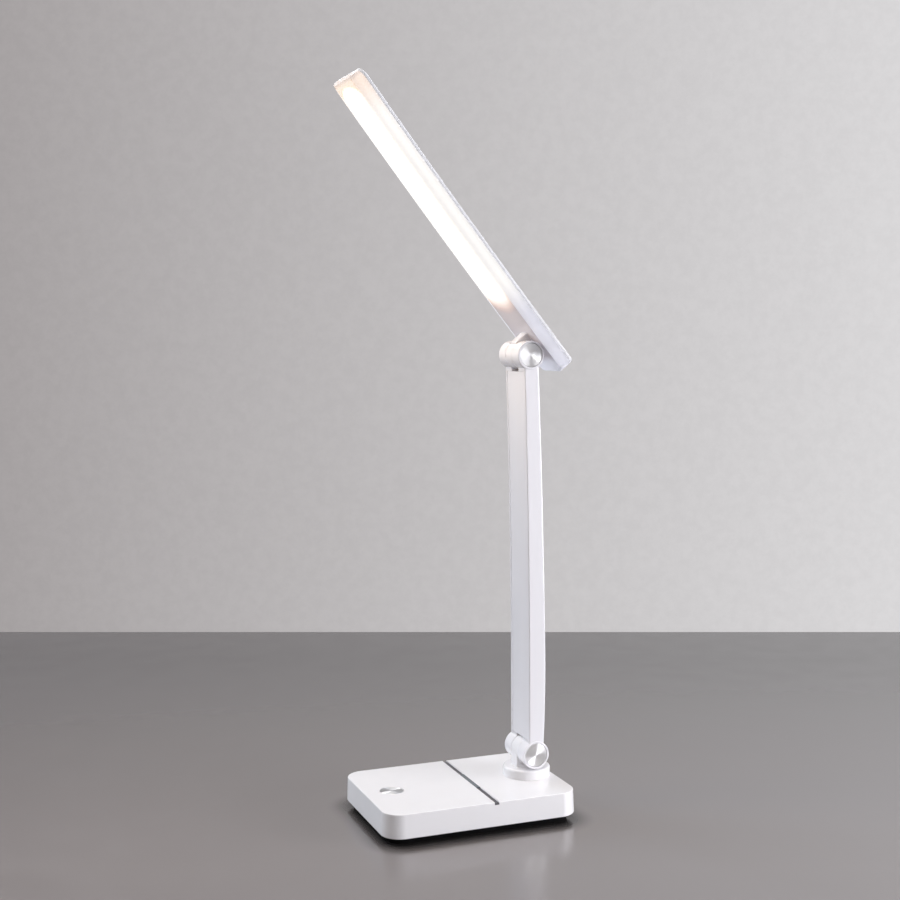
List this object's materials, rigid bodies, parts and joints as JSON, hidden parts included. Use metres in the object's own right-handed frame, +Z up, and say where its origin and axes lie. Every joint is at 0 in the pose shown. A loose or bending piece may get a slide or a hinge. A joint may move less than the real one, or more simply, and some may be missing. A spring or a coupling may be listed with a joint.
{
  "type": "folding led desk lamp",
  "caption": "Folding desk lamp: flat base with a touch button, a swivelling turntable, a folding arm and a folding slim light panel.",
  "frame": {"origin": "middle of the mat under the base, on the table", "axes": "+Z up, +X towards the hinge end of the base, the light panel leans towards -X"},
  "size_m": [0.1406, 0.088, 0.4476],
  "materials": {
    "white_gloss": "glossy moulded plastic",
    "black_plastic": "fine texture",
    "mat_rubber": "matt",
    "steel": "zinc plated",
    "spun_aluminium": "spun, concentric brush marks",
    "button_metal": "spun, concentric brush marks",
    "groove_dark": "satin",
    "indicator_smoke": "smoked, glossy",
    "circuit_green": "solder mask",
    "component_black": "moulded",
    "battery_wrap": "shrink wrap",
    "spring_brass": "plated wire",
    "inlet_steel": "drawn shell",
    "lead_red": "insulation",
    "diffuser_milk": "milky, glossy",
    "reflector_white": "matt sheet",
    "led_board_metal": "white coated",
    "led_phosphor": "phosphor"
  },
  "bodies": {
    "base": {"anti_slip_mat": "mat_rubber", "base_cover": "black_plastic", "base_shell": "white_gloss", "base_screws": "steel", "weight_plate": "steel", "battery_pack": "battery_wrap", "control_board": "circuit_green", "board_parts": "component_black", "power_inlet": "inlet_steel", "inlet_tongue": "black_plastic", "touch_button": "button_metal", "touch_spring": "spring_brass", "groove_strip": "groove_dark", "indicator_bar": "indicator_smoke", "base_lead": "lead_red"},
    "turntable": {"turntable": "white_gloss", "turntable_washer": "steel", "turntable_nut": "steel", "turntable_lead": "lead_red"},
    "arm": {"arm_channel": "white_gloss", "arm_cover": "white_gloss", "arm_lead": "lead_red", "lower_pin": "steel", "lower_nut": "steel", "lower_washers": "steel", "lower_cap_front": "spun_aluminium", "lower_cap_rear": "spun_aluminium", "upper_pin": "steel", "upper_nut": "steel", "upper_washers": "steel", "upper_cap_front": "spun_aluminium", "upper_cap_rear": "spun_aluminium"},
    "head": {"head_neck": "white_gloss", "neck_screws": "steel", "head_housing": "white_gloss", "head_diffuser": "diffuser_milk", "reflector_sheet": "reflector_white", "led_board": "led_board_metal", "led_chips": "led_phosphor", "board_screws": "steel", "head_lead": "lead_red"}
  },
  "joints": [
    {"name": "base_swivel", "type": "hinge", "parent": "base", "child": "turntable", "pos_m": [0.0461, 0, 0.019], "axis": [0, 0, 1], "range_deg": [-90, 90]},
    {"name": "arm_fold", "type": "hinge", "parent": "turntable", "child": "arm", "pos_m": [0.0461, 0, 0.035], "axis": [0, 1, 0], "range_deg": [-88.4, 21.1]},
    {"name": "head_fold", "type": "hinge", "parent": "arm", "child": "head", "pos_m": [0.0413, 0, 0.28495], "axis": [0, 1, 0], "range_deg": [-142.2, 37.8]}
  ]
}
